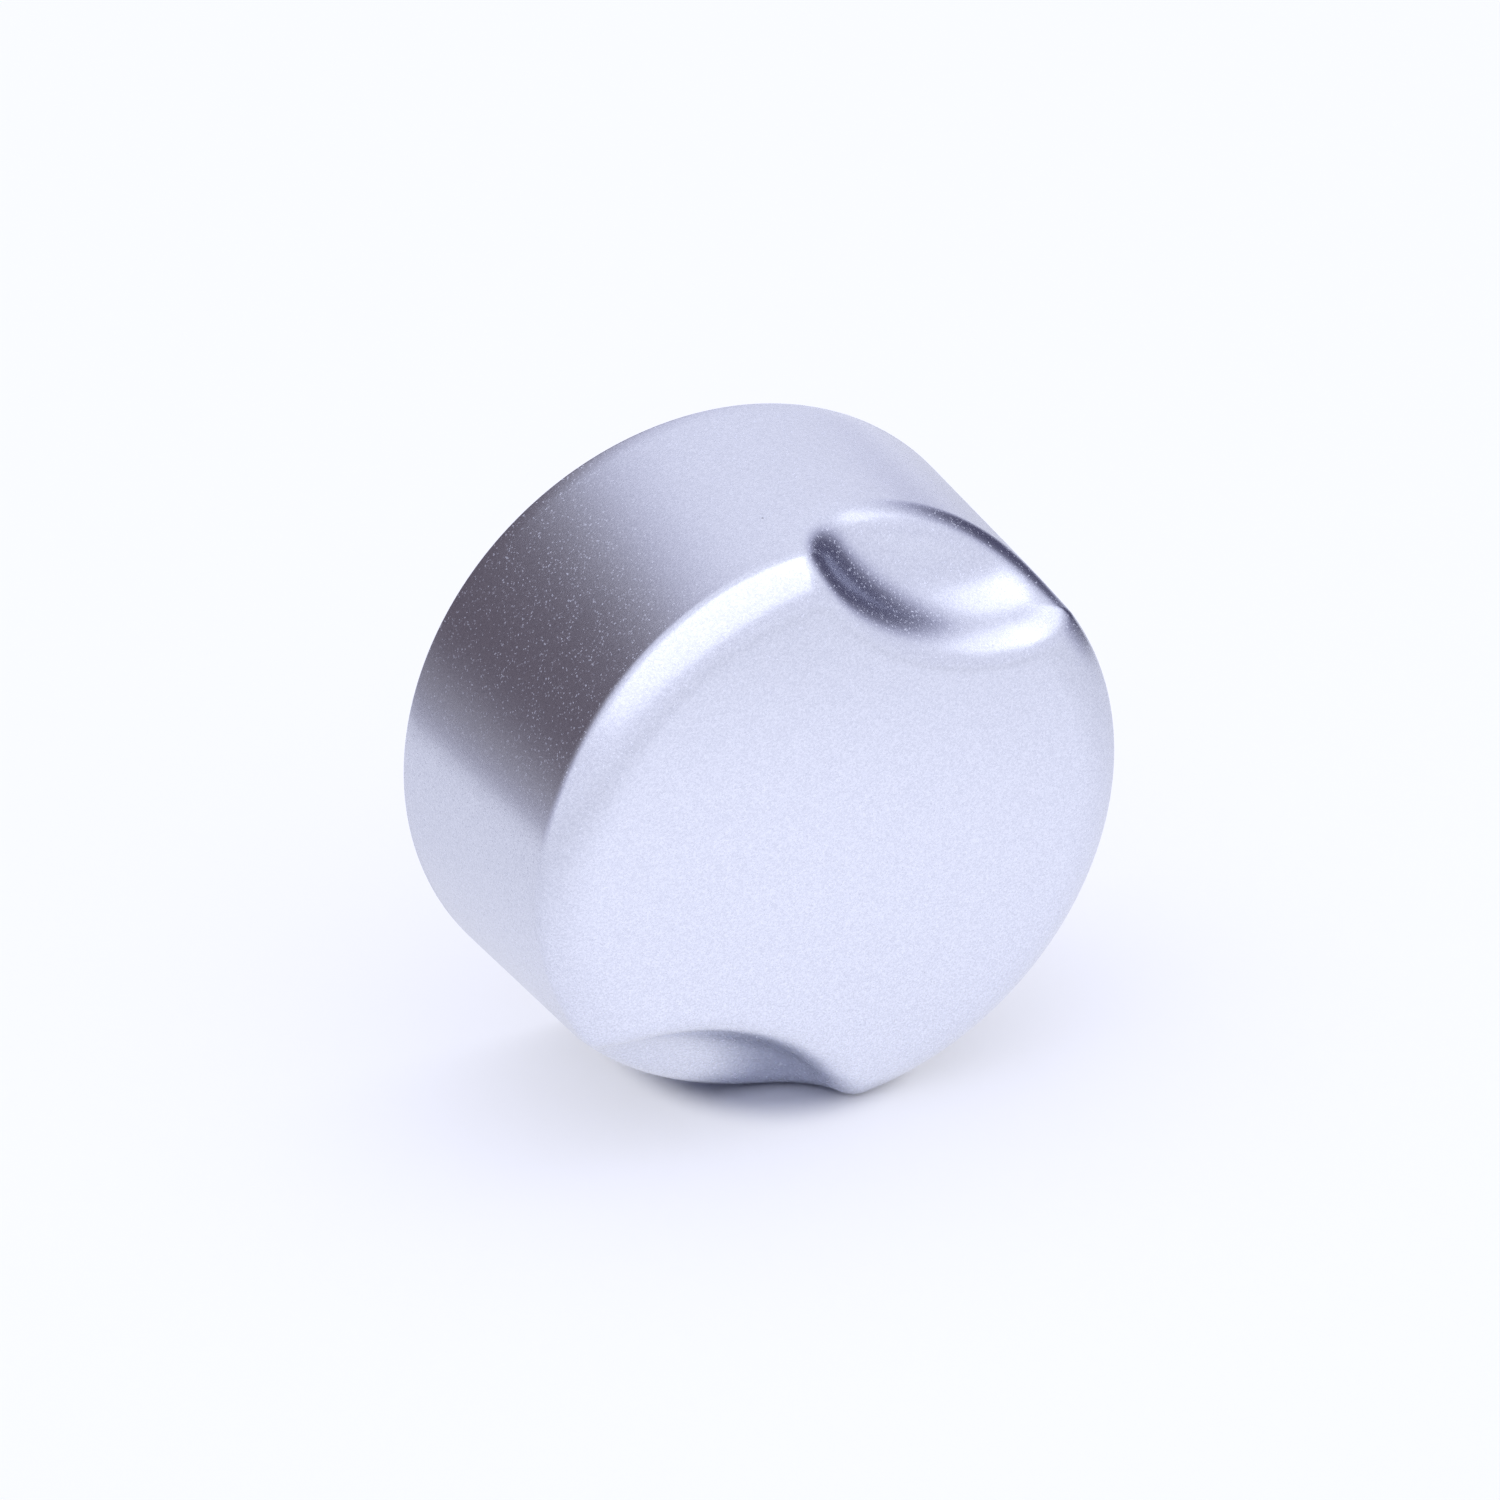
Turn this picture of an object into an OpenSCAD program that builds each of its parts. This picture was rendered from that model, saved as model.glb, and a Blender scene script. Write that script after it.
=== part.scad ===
// Push-on control knob with two finger scoops.
// The knob stands on its rim: its axis lies along Y, its face looks towards -Y and +Z is up.
// The origin lies on the axis, where the round wall of the shaft socket begins.

/* [Knob] */
// Diameter across the back rim
knob_d = 40; // [36:0.5:50]
// Length from the back rim to the middle of the face
knob_h = 19.9; // [19:0.1:24]
// Taper of the side in degrees, which lets the knob leave its mould
side_draft = 2; // [0.5:0.1:3]
// Rise of the domed face above its border
face_dome = 0.9; // [0.5:0.1:1.1]
// Width of the rounded border between the domed face and the front edge
border_w = 3.4; // [2.5:0.1:3.6]
// Drop of the border from the domed face to the front edge
border_drop = 1.8; // [1.6:0.1:2.4]
// Chamfer round the back rim
rim_chamfer = 0.2; // [0.1:0.05:0.8]
// Turn of the knob in degrees, clockwise seen from the front, which leans its scoops from the top
knob_turn = 25.5; // [0:0.5:180]

/* [Finger scoops] */
// Distance of a scoop's own axis outside the back rim, at the height of the face's middle
scoop_out = 10.3; // [9.8:0.1:10.8]
// Lean of a scoop's axis in degrees, which lets the floor fall towards the side
scoop_lean = 14; // [12:0.5:16]
// Depth of a scoop's floor along its axis, from the height of the face's middle
scoop_depth = 8.5; // [8:0.1:9]
// Radius of the flat middle of a scoop's floor
floor_r = 10.9; // [10.4:0.1:11.4]
// Radius of the hollow curve that rises from the floor
bowl_r = 5.2; // [4.7:0.1:5.7]
// Radius of the lip where a scoop meets the face
lip_r = 3; // [2.5:0.1:3.3]
// Depth of the top of the lip, measured like the floor
lip_depth = 4.87; // [4.6:0.01:5]

/* [Walls and ribs] */
// Thickness of the side wall
side_wall = 2; // [1.4:0.1:3]
// Thickness of the front wall at its middle
face_wall = 2.8; // [2.4:0.1:3.4]
// Thickness of the wall behind a scoop
scoop_wall = 2; // [1.4:0.1:2.6]
// Number of ribs between the hub and the side wall
rib_n = 4; // [3:1:8]
// Thickness of a rib
rib_t = 1.2; // [0.8:0.1:2]

/* [Shaft socket] */
// Diameter of the shaft
shaft_d = 6; // [5:0.1:6.4]
// Clearance round the shaft, on its radius
shaft_gap = 0.03; // [0.01:0.01:0.05]
// Length of the socket's round part, from the lead-in to the flat
round_depth = 7; // [6:0.1:9]
// Length of the part with the flat
flat_depth = 5.5; // [3:0.1:6]
// Thickness of the shaft at its flat
shaft_flat = 4.5; // [4:0.1:5.5]
// Extra room round the shaft beside the flat
flat_relief = 0.2; // [0.2:0.05:0.4]
// Outside diameter of the hub
hub_d = 11; // [10:0.1:13]
// Depth of the hub's mouth inside the back rim
hub_recess = 2; // [0.5:0.1:2.4]
// Chamfer that leads the shaft into the socket
lead_in = 0.4; // [0.2:0.1:0.6]
// Width of the slot that splits the hub
slot_w = 1.2; // [0.8:0.1:1.6]
// Depth of the slot
slot_depth = 5.6; // [5:0.1:6.5]

/* [Spring ring] */
// Thickness of the ring's steel strip
ring_t = 0.6; // [0.4:0.05:0.8]
// Width of the strip
ring_w = 2.6; // [2:0.1:3]
// Opening of the ring in degrees
ring_open = 40; // [20:1:60]
// Distance of the ring from the hub's mouth
ring_inset = 1.2; // [0.8:0.1:1.6]
// Depth of the ring's groove in the hub
groove_depth = 0.4; // [0.2:0.05:0.6]
// Play of the ring in its groove
ring_play = 0.05; // [0.02:0.01:0.1]

/* [Hidden] */
$fn = 96;
// Cuts run this far past the faces that they open
past = 1;
// Curves that meet without a kink overlap by this much, so that their surfaces cross, and the dome's
// tip stands this far above the face's full height, where it is cut flat
overlap = 0.005;
// Facets of a full circle as large as the dome's
dome_fn = 720;
// Radius of the hollow's front corner
inner_corner_r = 1.2;
// The hub and the ribs run this far into the walls that they join
root = 0.5;
// Free space between the slot's end and the ribs
rib_clear = 1;
// Angle of the first rib, between the scoops and the slot
rib_start = 45;

knob_r = knob_d / 2;
scoop_axis = knob_r + scoop_out;
inner_h = knob_h - face_wall;
shaft_r = shaft_d / 2 + shaft_gap;
socket_z = hub_recess + lead_in;
flat_z = socket_z + round_depth;
ring_z = hub_recess + ring_inset;
groove_r = hub_d / 2 - groove_depth;
rib_z = hub_recess + slot_depth + rib_clear;

// Front of the knob: the border's arc leaves the dome without a kink and ends at the front edge
edge_z = knob_h - face_dome - border_drop;
face_r = knob_r - edge_z * tan(side_draft) - border_w;
dome_r = (pow(face_r, 2) + pow(face_dome, 2)) / (2 * face_dome);
to_dome_c = [-face_r, face_dome - dome_r] / dome_r;
to_edge = [border_w, -border_drop];
border_r = (to_edge * to_edge) / (2 * to_edge * to_dome_c);
border_c = [face_r, knob_h - face_dome] + border_r * to_dome_c;

// Section of a scoop, as distances from its own axis and heights along it
bowl_c = [floor_r, bowl_r - scoop_depth];
lip_y = -lip_depth - lip_r;
lip_c = [floor_r + sqrt(pow(bowl_r + lip_r - overlap, 2) - pow(bowl_c.y - lip_y, 2)), lip_y];
bowl_end = bowl_c + bowl_r * (lip_c - bowl_c) / norm(lip_c - bowl_c);

// Half section of the knob's outside: a tapered side up to a crisp edge, then the border and the dome
module drum_section() {
    intersection() {
        polygon([[0, 0], [knob_r, 0], [knob_r - knob_h * tan(side_draft), knob_h], [0, knob_h]]);
        union() {
            intersection() {
                translate([0, knob_h - dome_r + overlap]) circle(dome_r, $fn = dome_fn);
                square([face_r, knob_h]);
            }
            translate(border_c) circle(border_r + 2 * overlap);
            square([knob_r, border_c.y]);
        }
    }
}

// Half section of the hollow: a tapered drum with a round front corner
module hollow_section() {
    r = knob_r - side_wall;
    h = inner_h + past;
    corner_y = h - inner_corner_r;
    corner_c = [r - (corner_y * sin(side_draft) + inner_corner_r) / cos(side_draft), corner_y];
    side_end = corner_c + inner_corner_r * [cos(side_draft), sin(side_draft)];
    polygon([[0, 0], [r, 0], side_end, corner_c, [corner_c.x, h], [0, h]]);
    translate(corner_c) circle(inner_corner_r);
}

// Half section of a round bowl with a flat floor, cut off at a height above its floor
module bowl_section(r, h) {
    intersection() {
        union() {
            translate([floor_r, r]) circle(r);
            square([floor_r, h]);
        }
        square([floor_r + r, h]);
    }
}

// Half section of what a finger scoop takes away
module scoop_section() {
    difference() {
        union() {
            translate([0, -scoop_depth]) bowl_section(bowl_r, scoop_depth + bowl_end.y);
            translate([0, bowl_end.y]) square([lip_c.x, past - bowl_end.y]);
        }
        translate(lip_c) circle(lip_r);
    }
}

// Half section of the same bowl grown by its wall, which bulges into the hollow
module scoop_back_section() {
    translate([0, -scoop_depth - scoop_wall])
        bowl_section(bowl_r + scoop_wall, scoop_depth + scoop_wall);
}

// Places a shape on the leaning axis of both scoops, with its zero at the height of the face's middle
module at_scoops() {
    for (side = [0, 180])
        rotate([0, 0, side]) translate([0, scoop_axis, knob_h]) rotate([-scoop_lean, 0, 0]) children();
}

module hollow() {
    difference() {
        translate([0, 0, -past]) rotate_extrude() hollow_section();
        at_scoops() rotate_extrude() scoop_back_section();
    }
}

module rim_cut() {
    rotate_extrude()
        translate([knob_r, rim_chamfer])
            polygon([[-rim_chamfer - past, -rim_chamfer - past], [past, -rim_chamfer - past], [past, past]]);
}

module ribs() {
    rib_h = inner_h - rib_z + root;
    rib_l = knob_r - side_wall - hub_d / 2 + 2 * root;
    for (i = [0 : rib_n - 1])
        rotate([0, 0, rib_start + i * 360 / rib_n])
            translate([hub_d / 2 - root, -rib_t / 2, rib_z]) cube([rib_l, rib_t, rib_h]);
}

// Round bore with a lead-in, then a longer stretch with a flat that keys the shaft
module socket() {
    translate([0, 0, socket_z]) cylinder(h = round_depth, r = shaft_r);
    translate([0, 0, hub_recess]) cylinder(h = lead_in, r1 = shaft_r + lead_in, r2 = shaft_r);
    translate([0, 0, flat_z]) intersection() {
        cylinder(h = flat_depth, r = shaft_r + flat_relief);
        translate([-shaft_d, -shaft_d, 0])
            cube([2 * shaft_d, shaft_d + shaft_flat - shaft_d / 2 + shaft_gap, flat_depth]);
    }
}

module slot() {
    translate([-hub_d / 2 - past, -slot_w / 2, hub_recess - past])
        cube([hub_d + 2 * past, slot_w, slot_depth + past]);
}

module ring_groove() {
    translate([0, 0, ring_z - ring_play])
        rotate_extrude() translate([groove_r, 0]) square([groove_depth + past, ring_w + 2 * ring_play]);
}

// Stands the knob on its rim, with its face to the front and the socket's mouth at the origin
module upright() {
    translate([0, socket_z, 0]) rotate([90, 0, 0]) rotate([0, 0, -knob_turn]) children();
}

// One moulding: shell, hub and ribs, with the two scoops cut into its front edge
module knob_body() {
    color("silver") upright() difference() {
        union() {
            difference() {
                rotate_extrude() drum_section();
                hollow();
            }
            translate([0, 0, hub_recess]) cylinder(h = inner_h - hub_recess + root, d = hub_d);
            ribs();
        }
        at_scoops() rotate_extrude() scoop_section();
        socket();
        slot();
        ring_groove();
        rim_cut();
    }
}

// Split ring of spring steel that closes the slotted hub on the shaft
module spring_ring() {
    color("slategray") upright() translate([0, 0, ring_z]) rotate([0, 0, ring_open / 2])
        rotate_extrude(angle = 360 - ring_open)
            translate([groove_r + ring_play, 0]) square([ring_t, ring_w]);
}

knob_body();
spring_ring();
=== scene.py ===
# %% [markdown]
# # A control knob in silver paint
# The real knob is one plastic moulding that is sprayed with a satin silver paint. It lies on its
# side on a white table, so its round face looks to the front and two finger scoops bite into the
# face's edge. The CAD model gives the exact sizes, and this lesson dresses it: first the stage,
# then the shape, then the paint.

import math

import bmesh
import bpy
from mathutils import Matrix, Vector


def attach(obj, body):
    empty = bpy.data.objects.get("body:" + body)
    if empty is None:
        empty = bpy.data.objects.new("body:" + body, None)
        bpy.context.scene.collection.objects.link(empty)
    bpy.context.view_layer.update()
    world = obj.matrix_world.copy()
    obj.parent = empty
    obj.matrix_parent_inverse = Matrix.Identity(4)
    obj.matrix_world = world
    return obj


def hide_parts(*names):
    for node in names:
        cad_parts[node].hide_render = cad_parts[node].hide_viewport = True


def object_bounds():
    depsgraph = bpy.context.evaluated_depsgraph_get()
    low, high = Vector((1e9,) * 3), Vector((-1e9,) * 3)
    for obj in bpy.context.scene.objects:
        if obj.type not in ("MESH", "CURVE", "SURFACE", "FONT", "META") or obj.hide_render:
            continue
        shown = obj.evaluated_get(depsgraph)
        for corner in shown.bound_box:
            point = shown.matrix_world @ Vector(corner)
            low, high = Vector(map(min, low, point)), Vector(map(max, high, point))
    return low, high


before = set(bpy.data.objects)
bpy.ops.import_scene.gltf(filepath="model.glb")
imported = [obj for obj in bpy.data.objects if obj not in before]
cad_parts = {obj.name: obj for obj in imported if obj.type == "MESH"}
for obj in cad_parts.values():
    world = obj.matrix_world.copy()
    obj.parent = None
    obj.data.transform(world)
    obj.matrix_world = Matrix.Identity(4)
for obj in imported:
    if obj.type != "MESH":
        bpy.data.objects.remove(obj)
cad_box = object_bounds()


def short(point):
    """A point's numbers, rounded for printing."""
    return [round(c, 4) for c in point]


print("CAD nodes:", sorted(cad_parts), "box:", [short(corner) for corner in cad_box])

# %% [markdown]
# ## Sizes
# A knob is easiest to think of on its back: its axis is Z, the back rim is at height 0 and the face
# looks up. So every shape below is made that way in millimetres, and one matrix then puts it in
# place: it turns the scoops to where they are on the table, tips the face to the front and changes
# millimetres into metres.

# %% Sizes of the knob in millimetres
MM = 0.001
KNOB_R = 20.0
KNOB_H = 19.9
SIDE_DRAFT = math.radians(2)
FACE_DOME = 0.9
BORDER_W = 3.4
BORDER_DROP = 1.8
RIM_CHAMFER = 0.2
KNOB_TURN = math.radians(25.5)
SOCKET_Z = 2.4

UPRIGHT = (
    Matrix.Translation((0, SOCKET_Z * MM, 0))
    @ Matrix.Rotation(math.radians(90), 4, "X")
    @ Matrix.Rotation(-KNOB_TURN, 4, "Z")
    @ Matrix.Scale(MM, 4)
)


def side_r(z):
    """Radius of the tapered side at a height."""
    return KNOB_R - z * math.tan(SIDE_DRAFT)


EDGE_Z = KNOB_H - FACE_DOME - BORDER_DROP
EDGE_R = side_r(EDGE_Z)
edge_centre = UPRIGHT @ Vector((0, 0, EDGE_Z))
print("The front edge has radius", round(EDGE_R, 2), "mm and its centre at", short(edge_centre))

# %% [markdown]
# ## Camera
# The picture was taken from the left, a hand above the knob, with a long lens: parallel edges
# hardly converge. A camera is placed here by two angles and a distance from the front edge's
# centre, and then shifted sideways in its own plane until the knob sits where it should in the
# frame. That keeps the horizon level.

# %% Camera
VIEW_FROM_LEFT = math.radians(27.18)
VIEW_FROM_ABOVE = math.radians(30.28)
VIEW_DISTANCE = 0.715247
EDGE_RIGHT_OF_MIDDLE = 0.004749
EDGE_BELOW_MIDDLE = 0.004664
LENS_MM = 288.0
SENSOR_MM = 36.0
NEAR_CLIP, FAR_CLIP = 0.01, 10.0

look = Vector(
    (
        math.sin(VIEW_FROM_LEFT) * math.cos(VIEW_FROM_ABOVE),
        math.cos(VIEW_FROM_LEFT) * math.cos(VIEW_FROM_ABOVE),
        -math.sin(VIEW_FROM_ABOVE),
    )
)
right = look.cross(Vector((0, 0, 1))).normalized()
up = right.cross(look)

camera_data = bpy.data.cameras.new("camera")
camera_data.sensor_width = SENSOR_MM
camera_data.lens = LENS_MM
camera_data.clip_start, camera_data.clip_end = NEAR_CLIP, FAR_CLIP
camera = bpy.data.objects.new("camera", camera_data)
aim = edge_centre - right * EDGE_RIGHT_OF_MIDDLE + up * EDGE_BELOW_MIDDLE
camera.location = aim - look * VIEW_DISTANCE
camera.rotation_mode = "QUATERNION"
camera.rotation_quaternion = look.to_track_quat("-Z", "Y")
bpy.context.scene.collection.objects.link(camera)
bpy.context.scene.camera = camera
print("The camera stands at", short(camera.location))

# %% [markdown]
# ## Table
# The knob lies on its side on a plain white table, a single large sheet under the knob's lowest
# line. The side has a taper, and a tapered thing rests on its whole side, so the table is turned by
# the taper's two degrees.
# Tables for photographing small goods are often lit from below as well, which makes shadows faint.
# Part of the table's white is a painted glow, an emission from the table itself, seen by the camera
# and by reflections, which makes shadows faint; the rest is plain white paint with a shadow. The
# glow is left out of a patch right under the knob, which paints a dark contact shadow where the two
# touch.
# comes back a little far away.

# %% Table sheet
TABLE_SIDE = 3.0


def add_object(name, bm):
    """An object in the scene with the finished mesh."""
    mesh = bpy.data.meshes.new(name)
    bm.to_mesh(mesh)
    bm.free()
    obj = bpy.data.objects.new(name, mesh)
    bpy.context.scene.collection.objects.link(obj)
    return obj


table_bm = bmesh.new()
bmesh.ops.create_grid(table_bm, x_segments=1, y_segments=1, size=TABLE_SIDE / 2)
table_z = cad_box[0].z
bmesh.ops.translate(table_bm, verts=table_bm.verts, vec=(0, 0, table_z))
rim_foot = Vector((0, SOCKET_Z * MM, table_z))
table_turn = Matrix.Rotation(-SIDE_DRAFT, 3, "X")
bmesh.ops.rotate(table_bm, verts=table_bm.verts, cent=rim_foot, matrix=table_turn)
table = add_object("table", table_bm)
print("The table touches the back rim at height", round(table_z, 4))

# %% Table paint
TABLE_PAINT = (0.94, 0.95, 0.985, 1)


def new_material(name):
    """A new material, its node tree and its Principled shader."""
    material = bpy.data.materials.new(name)
    material.use_nodes = True
    tree = material.node_tree
    return material, tree, tree.nodes["Principled BSDF"]


def fill(tree, node, inputs):
    """Sets inputs of a node. Each value is a constant or another node's output."""
    for title, value in inputs.items():
        if isinstance(value, bpy.types.NodeSocket):
            tree.links.new(value, node.inputs[title])
        else:
            node.inputs[title].default_value = value


table_white, tree, table_paint = new_material("table_white")
fill(tree, table_paint, {"Base Color": TABLE_PAINT, "Roughness": 0.9, "Specular IOR Level": 0.0})
table.data.materials.append(table_white)
print("The table has the material", table.data.materials[0].name)

# %% Where the table glows
# The painted shadow's fade is counted in half sizes of its patch under the knob, and the painted
# pool's reaches are in metres
PAINTED_SHADOW_MIDDLE, PAINTED_SHADOW_HALF = (0, -0.005, 0), (0.0056, 0.0072, 1)
PAINTED_SHADOW_FADE = (1.15, 1.75)
PAINTED_POOL_MIDDLE = (0.002, -0.048, 0)
PAINTED_POOL_REACH, PAINTED_POOL_LEVELS = (0.012, 0.084), (1.03, 0.75)
FAR_REACH, FAR_LEVELS = (0.18, 0.30), (0.0, 0.16)


def add_node(tree, kind, inputs, **settings):
    """A shader node with its settings and its inputs."""
    node = tree.nodes.new("ShaderNode" + kind)
    for name, value in settings.items():
        setattr(node, name, value)
    fill(tree, node, inputs)
    return node


def maths(tree, operation, a, b):
    return add_node(tree, "Math", {0: a, 1: b}, operation=operation).outputs[0]


def vector_maths(tree, operation, a, b):
    return add_node(tree, "VectorMath", {0: a, 1: b}, operation=operation).outputs["Vector"]


def length(tree, vector):
    return add_node(tree, "VectorMath", {0: vector}, operation="LENGTH").outputs["Value"]


def object_place(tree):
    """The object's own coordinates, so that a pattern stays where it is on the object."""
    return add_node(tree, "TexCoord", {}).outputs["Object"]


def flat_distance(tree, middle, half):
    """Distance from a middle point in the table's plane, in units of the half sizes."""
    flat = vector_maths(tree, "MULTIPLY", object_place(tree), (1, 1, 0))
    from_middle = vector_maths(tree, "SUBTRACT", flat, middle)
    return length(tree, vector_maths(tree, "DIVIDE", from_middle, half))


def ramp(tree, value, reach, levels):
    """A soft step from one level to another while the value crosses its reach."""
    inputs = {"Value": value}
    inputs["From Min"], inputs["From Max"] = reach
    inputs["To Min"], inputs["To Max"] = levels
    return add_node(tree, "MapRange", inputs, interpolation_type="SMOOTHSTEP").outputs["Result"]


# The glow fades out in a patch right under the knob: a painted contact shadow
clear_of_painted_shadow = ramp(tree, flat_distance(tree, PAINTED_SHADOW_MIDDLE, PAINTED_SHADOW_HALF), PAINTED_SHADOW_FADE, (0.0, 1.0))
# In reflections the glow's strength follows a painted pool of light in front of the knob
from_painted_pool = flat_distance(tree, PAINTED_POOL_MIDDLE, (1, 1, 1))
near_painted_pool = ramp(tree, from_painted_pool, PAINTED_POOL_REACH, PAINTED_POOL_LEVELS)
pool = maths(tree, "ADD", near_painted_pool, ramp(tree, from_painted_pool, FAR_REACH, FAR_LEVELS))
print("The table's colour has", len(tree.nodes), "nodes so far")

# %% Which rays see the glow
# The glow is painted light: an emission from the table, not a lamp
TABLE_GLOW = (0.962, 0.972, 1.06, 1)
GLOW_IN_VIEW, GLOW_IN_MIRROR = 0.60, 0.8


def mirror_ray(tree, ray):
    """One for a ray that leaves something shiny, but zero once it has met something matt."""
    not_matt = maths(tree, "LESS_THAN", ray.outputs["Diffuse Depth"], 0.5)
    return maths(tree, "MULTIPLY", ray.outputs["Is Glossy Ray"], not_matt)


ray = add_node(tree, "LightPath", {})
mirrored = mirror_ray(tree, ray)
in_view = maths(tree, "MULTIPLY", ray.outputs["Is Camera Ray"], GLOW_IN_VIEW)
in_mirror = maths(tree, "MULTIPLY", mirrored, GLOW_IN_MIRROR)
glow_share = maths(tree, "MULTIPLY", maths(tree, "ADD", in_view, in_mirror), clear_of_painted_shadow)
dimming = maths(tree, "MULTIPLY", mirrored, maths(tree, "SUBTRACT", pool, 1.0))
strength = maths(tree, "ADD", dimming, 1.0)
glow = add_node(tree, "Emission", {"Color": TABLE_GLOW, "Strength": strength})
blend = add_node(tree, "MixShader", {0: glow_share, 1: table_paint.outputs[0], 2: glow.outputs[0]})
fill(tree, tree.nodes["Material Output"], {"Surface": blend.outputs[0]})
print("The table's colour has", len(tree.nodes), "nodes")

# %% [markdown]
# ## Light
# Satin metal shows little of its own colour: it shows a blurred picture of the room. So the room is
# built with care. It is pale all round, a very large lamp hangs above the camera, and a smaller one
# helps from the right. The lamps are seen only by reflections. The table gets its light from the
# ceiling alone, so the narrow gap under the knob stays dark. Where the camera looks past the table,
# it sees a plain white backdrop.
# A shiny thing in an all-white room loses its shape, so photographers stand dark cards beside it,
# just out of the frame. Two such cards with soft borders give the dark band on the knob's side and
# the dark wall in its scoop. They are hidden from the camera and throw no shadow: only reflections
# see them.

# %% Room
# Each set of shades has the height where it begins, its first shade and its shade at the ceiling
SHADES_FOR_TABLE = (0.44, (0.02, 0.02, 0.025, 1), (2.20, 2.24, 2.62, 1))
SHADES_IN_MIRROR = (0.0, (0.77, 0.78, 0.89, 1), (0.86, 0.875, 0.98, 1))
BACKDROP_WHITE = (0.95, 0.965, 1.0, 1)


def room_shades(tree, from_height, first, ceiling):
    """Shades of the room from a height up to the ceiling. Below that height the first one stays."""
    direction = add_node(tree, "TexCoord", {}).outputs["Generated"]
    height = add_node(tree, "SeparateXYZ", {0: direction}).outputs["Z"]
    shades = add_node(tree, "ValToRGB", {"Fac": height})
    stops = shades.color_ramp.elements
    stops[0].position, stops[0].color = from_height, first
    stops[1].position, stops[1].color = 1.0, ceiling
    return shades.outputs["Color"]


def mix(tree, factor, a, b):
    """A colour between two others."""
    inputs = {"Factor": factor, "A": a, "B": b}
    return add_node(tree, "Mix", inputs, data_type="RGBA").outputs["Result"]


scene = bpy.context.scene
scene.view_settings.view_transform = "Standard"
world = bpy.data.worlds.new("room")
scene.world = world
world.use_nodes = True
tree = world.node_tree
ray = add_node(tree, "LightPath", {})
for_table = room_shades(tree, *SHADES_FOR_TABLE)
for_reflections = room_shades(tree, *SHADES_IN_MIRROR)
room = mix(tree, mirror_ray(tree, ray), for_table, for_reflections)
seen = mix(tree, ray.outputs["Is Camera Ray"], room, BACKDROP_WHITE)
fill(tree, tree.nodes["Background"], {"Color": seen})
print("The room has", len(tree.nodes), "nodes")

# %% Lamps
LAMP_TINT = (0.91, 0.93, 1.0)
LAMP_DISTANCE = 1.2


def toward(azimuth, height):
    """Direction by degrees to the right of the back, and degrees above the horizon."""
    a, h = math.radians(azimuth), math.radians(height)
    return Vector((math.sin(a) * math.cos(h), math.cos(a) * math.cos(h), math.sin(h)))


def round_lamp(name, azimuth, height, diameter, radiance):
    """A round lamp that looks at the knob. Its power follows from its size and brightness."""
    data = bpy.data.lights.new(name, "AREA")
    data.shape = "DISK"
    data.size = diameter
    data.color = LAMP_TINT
    data.energy = radiance * math.pi * math.pi * (diameter / 2) ** 2
    lamp = bpy.data.objects.new(name, data)
    lamp.visible_diffuse = False
    lamp.location = toward(azimuth, height) * LAMP_DISTANCE
    lamp.rotation_mode = "QUATERNION"
    lamp.rotation_quaternion = (-toward(azimuth, height)).to_track_quat("-Z", "Y")
    scene.collection.objects.link(lamp)
    return lamp


lamps = [
    round_lamp("lamp_front", azimuth=-168, height=52, diameter=2.2, radiance=0.45),
    round_lamp("lamp_right", azimuth=125, height=52, diameter=1.0, radiance=0.36),
]
print("The lamps give", [round(lamp.data.energy, 2) for lamp in lamps], "W")

# %% Cards that only reflections see
def stand_card(name, azimuth, distance, sideways, height, half_width, half_height):
    """A card that stands across a direction from the knob."""
    card_bm = bmesh.new()
    bmesh.ops.create_grid(card_bm, x_segments=1, y_segments=1, size=1)
    card = add_object(name, card_bm)
    out = toward(azimuth, 0)
    along = Vector((out.y, -out.x, 0))
    card.location = out * distance + along * sideways + Vector((0, 0, table_z + height))
    card.rotation_mode = "QUATERNION"
    card.rotation_quaternion = Matrix((along, (0, 0, 1), out * -1)).transposed().to_quaternion()
    card.scale = (half_width, half_height, 1)
    for kind in ("camera", "diffuse", "shadow", "transmission", "volume_scatter"):
        setattr(card, "visible_" + kind, False)
    return card


card_left = stand_card("card_left", azimuth=-35, distance=0.091, sideways=0.008, height=0.060,
                       half_width=0.255, half_height=0.110)
card_right = stand_card("card_right", azimuth=82, distance=0.125, sideways=-0.006, height=0.040,
                        half_width=0.102, half_height=0.105)
print("The cards stand at", short(card_left.location), "and", short(card_right.location))

# %% Shades of the cards
LEFT_SHADE = (0.056, 0.032, 0.044, 1)
RIGHT_SHADE = (0.045, 0.042, 0.095, 1)
BORDER_SHADE = (0.085, 0.085, 0.460, 1)
BORDER_SHADE_FROM = 0.45


def shade_card(card, shade, cover, soft_from):
    """Gives a card a shade that covers most at its middle and fades to its border."""
    material, tree, shader = new_material(card.name)
    from_middle = length(tree, object_place(tree))
    near_border = add_node(tree, "MapRange", {"Value": from_middle, "From Min": BORDER_SHADE_FROM})
    tint = mix(tree, near_border.outputs["Result"], shade, BORDER_SHADE)
    fade = ramp(tree, from_middle, (soft_from, 1.0), (cover, 0.0))
    fill(tree, shader, {"Base Color": (0, 0, 0, 1), "Specular IOR Level": 0.0, "Alpha": fade})
    fill(tree, shader, {"Emission Color": tint, "Emission Strength": 1.0})
    card.data.materials.append(material)


shade_card(card_left, LEFT_SHADE, cover=0.90, soft_from=0.19)
shade_card(card_right, RIGHT_SHADE, cover=0.97, soft_from=0.32)
print("Shades:", [card.data.materials[0].name for card in (card_left, card_right)])

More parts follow.
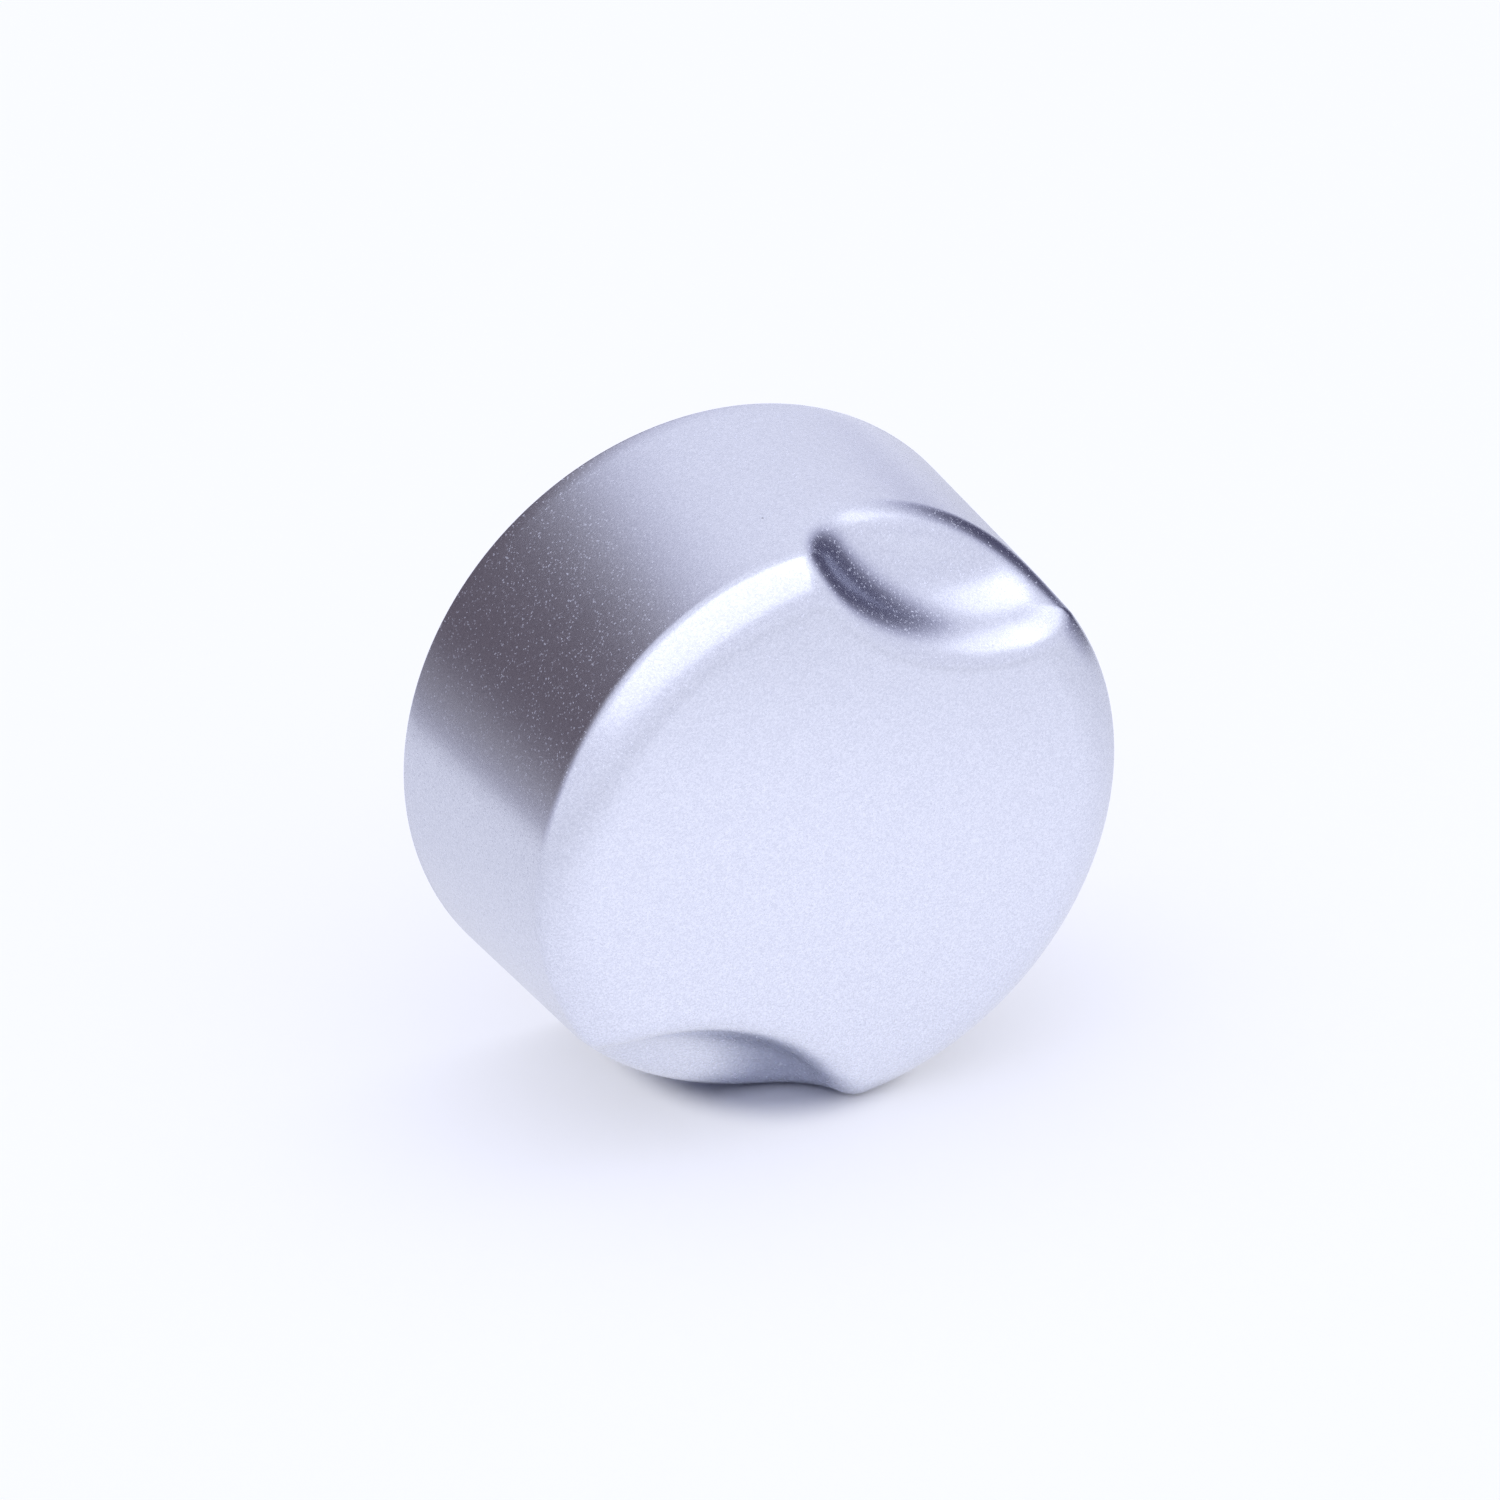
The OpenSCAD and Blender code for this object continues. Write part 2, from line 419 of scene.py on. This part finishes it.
# %% [markdown]
# ## The knob's outside
# Almost everything on a turned shape comes from one line. The line runs from the back rim up the
# tapered side to a crisp front edge, over a rounded border and in along a very flat dome to the
# middle of the face. The two arcs are drawn with the spin operator: a point that turns about an
# arc's centre leaves a line behind. The border's arc is chosen so that it leaves the dome without a
# kink. The line has most points where the scoops will be.

# %% Sizes of the arcs
FACE_R = EDGE_R - BORDER_W
DOME_R = (FACE_R**2 + FACE_DOME**2) / (2 * FACE_DOME)
dome_c = Vector((0, 0, KNOB_H - DOME_R))
border_top = Vector((FACE_R, 0, KNOB_H - FACE_DOME))
edge_point = Vector((EDGE_R, 0, EDGE_Z))
to_dome_c = (dome_c - border_top).normalized()
to_edge = edge_point - border_top
BORDER_R = to_edge.length_squared / (2 * to_edge.dot(to_dome_c))
border_c = border_top + to_dome_c * BORDER_R
border_angle = (edge_point - border_c).angle(border_top - border_c)
dome_angle = math.asin(FACE_R / DOME_R)
print("Dome radius", round(DOME_R, 1), "mm, border radius", round(BORDER_R, 2), "mm")

# %% Side of the outline
LOW_SIDE_Z = 1.0
SCOOP_SIDE_Z = 12.3
NEAR_EDGE = 0.7
RIM_ROUND = 0.08
ROUND_SEGMENTS = 3
SAME_HEIGHT = 1e-3


def round_corners(bm, verts, radius):
    """Rounds corners of an outline."""
    bmesh.ops.bevel(bm, geom=verts, offset=radius, offset_type="OFFSET", segments=ROUND_SEGMENTS,
                    profile=0.5, affect="VERTICES", material=-1)


chamfer_z = RIM_CHAMFER / (1 + math.tan(SIDE_DRAFT))
near_edge_z = EDGE_Z - NEAR_EDGE
corners = [(KNOB_R - RIM_CHAMFER, 0)]
corners += [(side_r(z), z) for z in (chamfer_z, SCOOP_SIDE_Z, near_edge_z, EDGE_Z)]
outside = bmesh.new()
corner_verts = [outside.verts.new((r, 0, z)) for r, z in corners]
for pair in zip(corner_verts, corner_verts[1:]):
    outside.edges.new(pair)
side_cuts = (
    (LOW_SIDE_Z, SCOOP_SIDE_Z, 9),
    (SCOOP_SIDE_Z, near_edge_z, 24),
    (near_edge_z, EDGE_Z, 8),
)
for low, high, cuts in side_cuts:
    stretch = [e for e in outside.edges if low < (e.verts[0].co.z + e.verts[1].co.z) / 2 < high]
    bmesh.ops.subdivide_edges(outside, edges=stretch, cuts=cuts)
rim_corner = [v for v in outside.verts if abs(v.co.z - chamfer_z) < SAME_HEIGHT]
round_corners(outside, rim_corner, RIM_ROUND)
print("The side of the outline has", len(outside.verts), "points")

# %% Face of the outline
SCOOP_FACE_R = 9.4

tip = [min(outside.verts, key=lambda v: (v.co - edge_point).length)]
scoop_angle = dome_angle - math.asin(SCOOP_FACE_R / DOME_R)
face_arcs = (
    (border_c, border_angle, 40),
    (dome_c, scoop_angle, 32),
    (dome_c, dome_angle - scoop_angle, 10),
)
for centre, angle, steps in face_arcs:
    arc = bmesh.ops.spin(outside, geom=tip, cent=centre, axis=(0, -1, 0), angle=angle, steps=steps)
    tip = [v for v in arc["geom_last"] if isinstance(v, bmesh.types.BMVert)]
print("The outline has", len(outside.verts), "points and ends at", short(tip[0].co))

# %% [markdown]
# ## Soft joins
# Real paint and plastic have no perfectly sharp edges. To round the joins, the shape is also
# written as a distance: how far a point stands outside the side and outside the face. One small
# formula joins two such distances with a round. A point that stands too far out is then pressed
# along a line until its distance is nothing.

# %% Distance from the plain knob
EDGE_ROUND = 0.26


def rounded(a, b, r):
    """Joins two surfaces, given as distances that are negative inside, with a round of radius r."""
    return min(-r, max(a, b)) + math.hypot(max(r + a, 0), max(r + b, 0))


def drum_distance(radius, z):
    """How far a point stands outside the plain knob; negative inside."""
    rise = z - dome_c.z
    if radius * math.cos(dome_angle) < rise * math.sin(dome_angle):
        face = math.hypot(radius, rise) - DOME_R
    elif z > border_c.z:
        face = math.hypot(radius - border_c.x, z - border_c.z) - BORDER_R
    else:
        face = radius - border_c.x - BORDER_R
    return rounded(face, (radius - side_r(z)) * math.cos(SIDE_DRAFT), EDGE_ROUND)


print("A crisp front edge stands", round(drum_distance(EDGE_R, EDGE_Z), 3), "mm outside a soft one")

# %% Round the front edge
PRESS_STEP = 0.05
HALVINGS = 18
INWARD = Vector((-0.8, 0, -0.6))


def press(co, line, distance):
    """Moves a point along a line until it lies on the surface where the distance is zero."""
    far = 0.0
    while distance(co + line * far) > 0:
        far += PRESS_STEP
    near = max(far - PRESS_STEP, 0.0)
    for _ in range(HALVINGS):
        half = (near + far) / 2
        if distance(co + line * half) > 0:
            near = half
        else:
            far = half
    return co + line * far


for v in outside.verts:
    if (v.co - edge_point).length < NEAR_EDGE:
        v.co = press(v.co, INWARD, lambda co: drum_distance(co.x, co.z))
soft_edge_r = max(v.co.x for v in outside.verts if v.co.z > EDGE_Z - EDGE_ROUND)
print("The front edge is rounded back to radius", round(soft_edge_r, 3))

# %% Turn the outline round the axis
OUTSIDE_STEPS = 480
MERGE = 1e-4

outline = outside.verts[:] + outside.edges[:]
bmesh.ops.spin(outside, geom=outline, cent=(0, 0, 0), axis=(0, 0, 1), angle=2 * math.pi,
               steps=OUTSIDE_STEPS, use_merge=True)
bmesh.ops.remove_doubles(outside, verts=outside.verts, dist=MERGE)
bmesh.ops.recalc_face_normals(outside, faces=outside.faces)
rim_count = sum(e.is_boundary for e in outside.edges)
print("The outside has", len(outside.faces), "faces and", rim_count, "open edges")

# %% [markdown]
# ## Finger scoops
# Each scoop is a shallow bowl whose own axis stands outside the knob and leans, so the bowl cuts
# the front edge away and its floor falls towards the side. A Boolean would leave a hard seam there.
# Instead the skin is pressed in like clay: every point that stands in the bowl's space moves along
# one slanted line until it touches the bowl. The slant shares the points evenly between floor and
# wall. The lip on the face is a soft round, and the edge to the side is a tighter one.

# %% Distance from the knob with its scoops
SCOOP_AXIS = 29.26
SCOOP_LEAN = math.radians(19.07)
SCOOP_DEPTH = 9.02
FLOOR_R = 9.74
BOWL_R = 5.02
LIP_R = 1.84
SCOOP_EDGE_R = 1.25
LIP_ENDS_AT, EDGE_STARTS_AT = 16.0, 19.0


def outside_distance(co):
    """How far a point stands outside the knob with its scoops; negative inside."""
    radius = math.hypot(co.x, co.y)
    out, rise = abs(co.y) - SCOOP_AXIS, co.z - KNOB_H
    along = math.cos(SCOOP_LEAN) * out - math.sin(SCOOP_LEAN) * rise
    height = math.sin(SCOOP_LEAN) * out + math.cos(SCOOP_LEAN) * rise + SCOOP_DEPTH - BOWL_R
    reach = math.hypot(co.x, along) - FLOOR_R
    bowl = (math.hypot(reach, height) if reach > 0 else -height) - BOWL_R
    share = min(max((radius - LIP_ENDS_AT) / (EDGE_STARTS_AT - LIP_ENDS_AT), 0), 1)
    return rounded(drum_distance(radius, co.z), -bowl, LIP_R + (SCOOP_EDGE_R - LIP_R) * share)


over_scoop = outside_distance(Vector((0, EDGE_R, EDGE_Z)))
print("The front edge stands", round(over_scoop, 2), "mm above the scoop's surface")

# %% Press the scoops into the skin
SCOOP_FROM_Y = 6.0
NOT_PRESSED = 0.0005

pressed = 0
for v in outside.verts:
    near_scoop = v.co.z > SCOOP_SIDE_Z and abs(v.co.y) > SCOOP_FROM_Y
    if near_scoop and outside_distance(v.co) > NOT_PRESSED:
        slant = Vector((0, -math.copysign(1, v.co.y), -1)).normalized()
        v.co = press(v.co, slant, outside_distance)
        pressed += 1
print("The scoops moved", pressed, "points")

# %% [markdown]
# ## The hollow back
# From behind, the knob is a cup with a hub, four ribs and the bulges of the scoops. The CAD node
# has all of that exactly, so its inside is taken from a copy: the copy's doubles are merged, its
# outer faces are deleted, and the bridge operator closes the flat rim between the two open edges.

# %% Inside from a copy of the CAD node
CAD_MERGE = 1e-3
RIM_FLAT_Z = 0.01
SKIN_DEPTH = 0.4
PAINTED, BARE = 0, 1

inside = bmesh.new()
inside.from_mesh(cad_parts["knob_body"].data)
bmesh.ops.transform(inside, matrix=UPRIGHT.inverted(), verts=inside.verts)
bmesh.ops.remove_doubles(inside, verts=inside.verts, dist=CAD_MERGE)


def is_outer(face):
    """True for a face in the flat rim or near the painted outside."""
    middle = face.calc_center_median()
    return middle.z < RIM_FLAT_Z or outside_distance(middle) > -SKIN_DEPTH


bmesh.ops.delete(inside, geom=[f for f in inside.faces if is_outer(f)], context="FACES")
for f in inside.faces:
    f.material_index = BARE
    f.smooth = True
rim_count = sum(e.is_boundary for e in inside.edges)
print("The inside has", len(inside.faces), "faces and", rim_count, "open edges at the rim")

# %% Close the rim
for f in outside.faces:
    f.material_index = PAINTED
    f.smooth = True
outside_mesh = bpy.data.meshes.new("outside")
outside.to_mesh(outside_mesh)
outside.free()
inside.from_mesh(outside_mesh)
bpy.data.meshes.remove(outside_mesh)
open_edges = [e for e in inside.edges if e.is_boundary]
rim = bmesh.ops.bridge_loops(inside, edges=open_edges)["faces"]
for f in rim:
    f.material_index = PAINTED
    f.smooth = False
    if f.normal.z > 0:
        f.normal_flip()
open_left = sum(not e.is_manifold for e in inside.edges)
print("The rim has", len(rim), "faces; open edges left:", open_left)

# %% Finish the knob's mesh
SHARP_ANGLE = math.radians(30)


def keep_sharp(bm):
    """Marks the edges that smooth shading would blur."""
    for e in bm.edges:
        if len(e.link_faces) == 2 and e.calc_face_angle() > SHARP_ANGLE:
            e.smooth = False


keep_sharp(inside)
for e in open_edges:
    e.smooth = False
bmesh.ops.transform(inside, matrix=UPRIGHT, verts=inside.verts)
knob = add_object("knob_shell", inside)
if "custom_normal" in knob.data.attributes:
    knob.data.attributes.remove(knob.data.attributes["custom_normal"])
print("The knob has", len(knob.data.polygons), "faces")

# %% [markdown]
# ## Silver paint
# The paint is a clear lacquer full of tiny aluminium flakes. Seen from a hand away, it is a soft
# metal with a slightly lavender cast and a fine sparkle: here and there a flake lies at a slant and
# catches other light. Sprayed paint also dries with a few specks in it. One group makes flakes,
# sparkle, clouds and specks once, so that the paint outside and the mist of paint inside can both
# use them.

# %% Flake group
# Reaches are shares of a texture's own range, and a speck's size is a share of its cell
DENSITIES = [("Flakes per Metre", 11000.0), ("Clouds per Metre", 60.0), ("Specks per Metre", 140.0)]
SPARKLE_REACH = (0.90, 1.0)
SPECK_SIZE = (0.008, 0.016)
CELLS_WITHOUT_SPECK = 0.5
CLOUD_DETAIL = 3.0


def new_group(name, inputs, outputs):
    """A node group of numbers, with its entry and its exit."""
    group = bpy.data.node_groups.new(name, "ShaderNodeTree")
    for title, default in inputs:
        socket = group.interface.new_socket(title, in_out="INPUT", socket_type="NodeSocketFloat")
        socket.default_value = default
    for title in outputs:
        group.interface.new_socket(title, in_out="OUTPUT", socket_type="NodeSocketFloat")
    return group, group.nodes.new("NodeGroupInput"), group.nodes.new("NodeGroupOutput")


def texture(tree, kind, size, **inputs):
    """A texture of the object's own coordinates."""
    return add_node(tree, kind, {"Vector": object_place(tree), "Scale": size, **inputs})


def channels(tree, colour):
    return add_node(tree, "SeparateColor", {0: colour}).outputs


flakes, entry, exit_ = new_group("paint_flakes", DENSITIES, ["Height", "Sparkle", "Cloud", "Speck"])
per_metre = entry.outputs
flake_cell = texture(flakes, "TexVoronoi", per_metre["Flakes per Metre"])
cell = channels(flakes, flake_cell.outputs["Color"])
cloud = texture(flakes, "TexNoise", per_metre["Clouds per Metre"], Detail=CLOUD_DETAIL)
speck_cell = texture(flakes, "TexVoronoi", per_metre["Specks per Metre"])
small = ramp(flakes, speck_cell.outputs["Distance"], SPECK_SIZE, (1.0, 0.0))
draw = channels(flakes, speck_cell.outputs["Color"])["Blue"]
few = maths(flakes, "GREATER_THAN", draw, CELLS_WITHOUT_SPECK)
fill(flakes, exit_, {
    "Height": cell["Red"],
    "Sparkle": ramp(flakes, cell["Green"], SPARKLE_REACH, (0.0, 1.0)),
    "Cloud": cloud.outputs["Fac"],
    "Speck": maths(flakes, "MULTIPLY", small, few),
})
print("The flake group gives", [socket.name for socket in exit_.inputs if socket.name])

# %% Paint
# A bump has a strength and a depth in metres
SILVER = (0.85, 0.873, 0.972, 1)
SILVER_DARK = (0.71, 0.733, 0.832, 1)
SPECK_GREY = (0.25, 0.25, 0.30, 1)
NOISE_REACH = (0.3, 0.7)
SATIN = (0.22, 0.26)
SPARKLE_BLUR = 0.30
FLAKE_BUMP = (0.14, 0.00002)


def bump(tree, height, strength, depth):
    inputs = {"Strength": strength, "Distance": depth, "Height": height}
    return add_node(tree, "Bump", inputs).outputs["Normal"]


def use_flakes(tree):
    return add_node(tree, "Group", {}, node_tree=flakes).outputs


silver_paint, tree, paint = new_material("silver_paint")
flake = use_flakes(tree)
silver = mix(tree, flake["Height"], SILVER_DARK, SILVER)
satin = ramp(tree, flake["Cloud"], NOISE_REACH, SATIN)
sparkle = maths(tree, "MULTIPLY", flake["Sparkle"], SPARKLE_BLUR)
fill(tree, paint, {
    "Base Color": mix(tree, flake["Speck"], silver, SPECK_GREY),
    "Metallic": 1.0,
    "Roughness": maths(tree, "ADD", satin, sparkle),
    "Normal": bump(tree, flake["Height"], *FLAKE_BUMP),
})
print("Silver paint:", len(tree.nodes), "nodes")

# %% [markdown]
# ## Bare plastic and a mist of paint
# The knob is sprayed from the front, standing on a peg. So its inside stays bare: a grey plastic
# with the fine matt grain of its mould. Only a mist of paint reaches past the rim, and it thins out
# within a few millimetres. The mist is a mask that falls off along the knob's axis and is broken up
# by the flakes.

# %% Bare plastic inside
PLASTIC = (0.155, 0.158, 0.168, 1)
PLASTIC_PALE = (0.205, 0.208, 0.218, 1)
MIST_FADE, MIST_DENSITY = (-0.0012, 0.0030), (0.0, 1.3)
MIST_REACH, MIST_COVER = (0.55, 1.0), (0.0, 0.9)
GRAINS_PER_METRE, GRAIN_DETAIL = 2500.0, 2.0
PLASTIC_MATT = (0.48, 0.62)
GRAIN_BUMP = (0.25, 0.00003)

bare_plastic, tree, plastic = new_material("bare_plastic")
flake = use_flakes(tree)
along_axis = add_node(tree, "SeparateXYZ", {0: object_place(tree)}).outputs["Y"]
near_rim = ramp(tree, along_axis, MIST_FADE, MIST_DENSITY)
drops = maths(tree, "ADD", flake["Height"], flake["Cloud"])
mist = ramp(tree, maths(tree, "MULTIPLY", near_rim, drops), MIST_REACH, MIST_COVER)
bare = mix(tree, flake["Cloud"], PLASTIC, PLASTIC_PALE)
grain = texture(tree, "TexNoise", GRAINS_PER_METRE, Detail=GRAIN_DETAIL).outputs["Fac"]
fill(tree, plastic, {
    "Base Color": mix(tree, mist, bare, SILVER),
    "Metallic": mist,
    "Roughness": ramp(tree, grain, NOISE_REACH, PLASTIC_MATT),
    "Normal": bump(tree, grain, *GRAIN_BUMP),
})
print("Bare plastic:", len(tree.nodes), "nodes")

# %% Put the knob in the place of its CAD node
knob.data.materials.append(silver_paint)
knob.data.materials.append(bare_plastic)
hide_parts("knob_body")
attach(knob, "root")
triangles = sum(len(f.vertices) - 2 for f in knob.data.polygons)
print("Knob:", triangles, "triangles in", len(knob.data.materials), "materials")

# %% [markdown]
# ## Spring ring
# A push-on knob needs something that grips the shaft. Here the hub is slotted, and a split ring of
# spring steel squeezes it. The ring is a rolled strip, so its section is a small rectangle with
# slightly rounded corners, and one spin carries that section almost round the axis. The two ends
# are closed with the hole filler. Rolling leaves fine lines along the strip, so the steel's noise
# is drawn out that way.

# %% Ring
RING_INNER_R, RING_T, RING_W, RING_Z = 5.15, 0.6, 2.6, 3.2
RING_OPEN = math.radians(40)
RING_CORNER = 0.08
RING_STEPS = 96

ring_bm = bmesh.new()
section = [(RING_INNER_R, RING_Z), (RING_INNER_R + RING_T, RING_Z)]
section += [(r, RING_Z + RING_W) for r, _ in reversed(section)]
section_verts = [ring_bm.verts.new((r, 0, z)) for r, z in section]
for pair in zip(section_verts, section_verts[1:] + section_verts[:1]):
    ring_bm.edges.new(pair)
round_corners(ring_bm, ring_bm.verts[:], RING_CORNER)
ring_turn = Matrix.Rotation(RING_OPEN / 2, 3, "Z")
bmesh.ops.rotate(ring_bm, verts=ring_bm.verts, cent=(0, 0, 0), matrix=ring_turn)
bmesh.ops.spin(ring_bm, geom=ring_bm.verts[:] + ring_bm.edges[:], cent=(0, 0, 0), axis=(0, 0, 1),
               angle=2 * math.pi - RING_OPEN, steps=RING_STEPS)
bmesh.ops.holes_fill(ring_bm, edges=[e for e in ring_bm.edges if e.is_boundary], sides=0)
bmesh.ops.remove_doubles(ring_bm, verts=ring_bm.verts, dist=MERGE)
bmesh.ops.recalc_face_normals(ring_bm, faces=ring_bm.faces)
for f in ring_bm.faces:
    f.smooth = len(f.verts) == 4
keep_sharp(ring_bm)
bmesh.ops.transform(ring_bm, matrix=UPRIGHT, verts=ring_bm.verts)
open_left = sum(not e.is_manifold for e in ring_bm.edges)
print("The ring has", len(ring_bm.faces), "faces; open edges:", open_left)
ring = add_object("spring_strip", ring_bm)

# %% Brushed steel
STEEL = (0.55, 0.56, 0.58, 1)
STEEL_DARK = (0.43, 0.44, 0.46, 1)
STREAKS, STREAK_DETAIL = (60, 7000, 60), 4.0
STEEL_SATIN = (0.26, 0.40)
STREAK_BUMP = (0.2, 0.00001)

spring_steel, tree, steel = new_material("spring_steel")
stretched = vector_maths(tree, "MULTIPLY", object_place(tree), STREAKS)
streak_inputs = {"Vector": stretched, "Scale": 1.0, "Detail": STREAK_DETAIL}
streak = add_node(tree, "TexNoise", streak_inputs).outputs["Fac"]
fill(tree, steel, {
    "Base Color": mix(tree, streak, STEEL_DARK, STEEL),
    "Metallic": 1.0,
    "Roughness": ramp(tree, streak, NOISE_REACH, STEEL_SATIN),
    "Normal": bump(tree, streak, *STREAK_BUMP),
})
ring.data.materials.append(spring_steel)
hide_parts("spring_ring")
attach(ring, "root")
print("Spring steel:", len(tree.nodes), "nodes")
